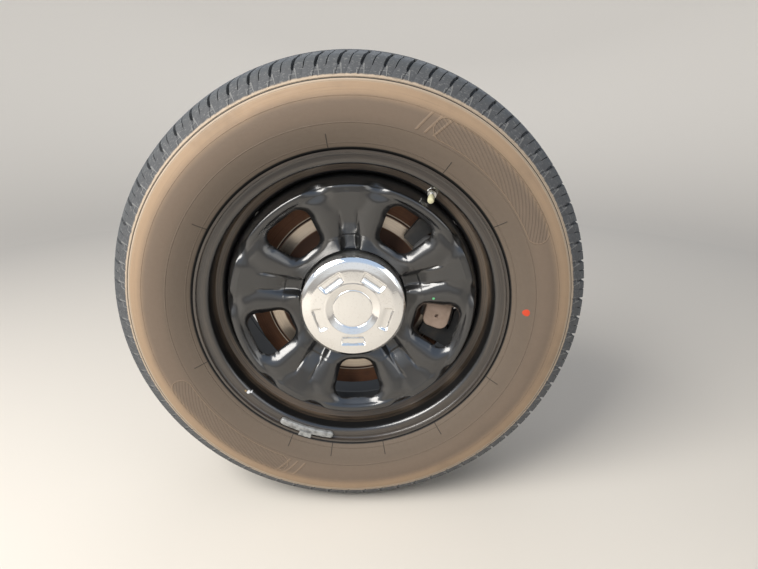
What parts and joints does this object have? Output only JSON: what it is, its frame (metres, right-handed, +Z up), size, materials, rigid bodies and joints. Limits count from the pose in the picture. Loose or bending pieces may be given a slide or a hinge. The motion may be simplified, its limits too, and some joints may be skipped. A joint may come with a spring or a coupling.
{
  "type": "suv wheel end with disc brake",
  "caption": "Road wheel and tyre of a large family car on its hub, with vented brake disc, caliper and suspension knuckle.",
  "frame": {"origin": "centre of the lower arm's bolt bore in the knuckle; the wheel's centre is 34 mm outboard of it and 135 mm above it", "axes": "+X forward on the car, +Z up, -Y outboard along the wheel's axle"},
  "size_m": [0.7629, 0.2572, 0.7628],
  "materials": {
    "tyre": "matte, browned sidewall",
    "black_paint": "gloss black",
    "chrome": "polished",
    "valve_metal": "satin",
    "valve_cap": "pale",
    "weight_metal": "dull grey",
    "plated_steel": "zinc plated",
    "machined_steel": "machined",
    "brake_iron": "rusty with a worn face",
    "cast_alloy": "sand cast",
    "shield_steel": "stamped",
    "caliper_paint": "charcoal casting",
    "bracket_iron": "weathered casting",
    "pad_lining": "sintered lining",
    "bush_rubber": "matte"
  },
  "bodies": {
    "carrier": {"bearing_housing": "machined_steel", "bearing_bolt_1": "plated_steel", "bearing_bolt_2": "plated_steel", "bearing_bolt_3": "plated_steel", "bearing_bolt_4": "plated_steel", "knuckle": "cast_alloy", "lower_arm_bush": "bush_rubber", "lower_arm_sleeve": "plated_steel", "upper_arm_bush": "bush_rubber", "upper_arm_sleeve": "plated_steel", "toe_link_bush": "bush_rubber", "toe_link_sleeve": "plated_steel", "dust_shield": "shield_steel", "caliper": "caliper_paint", "caliper_bracket": "bracket_iron", "brake_pad_outer": "pad_lining", "brake_pad_inner": "pad_lining", "caliper_piston": "plated_steel", "guide_pin_upper": "plated_steel", "guide_pin_lower": "plated_steel", "bracket_bolt_upper": "plated_steel", "bracket_bolt_lower": "plated_steel"},
    "wheel": {"tyre": "tyre", "rim": "black_paint", "wheel_disc": "black_paint", "centre_cap": "chrome", "valve_stem": "valve_metal", "valve_cap": "valve_cap", "balance_weight": "weight_metal", "lug_nut_1": "plated_steel", "lug_nut_2": "plated_steel", "lug_nut_3": "plated_steel", "lug_nut_4": "plated_steel", "lug_nut_5": "plated_steel", "wheel_stud_1": "plated_steel", "wheel_stud_2": "plated_steel", "wheel_stud_3": "plated_steel", "wheel_stud_4": "plated_steel", "wheel_stud_5": "plated_steel", "hub": "machined_steel", "brake_disc": "brake_iron"}
  },
  "joints": [
    {"name": "wheel_spin", "type": "hinge", "parent": "carrier", "child": "wheel", "pos_m": [0, -0.034, 0.135], "axis": [0, 1, 0], "continuous": true}
  ]
}
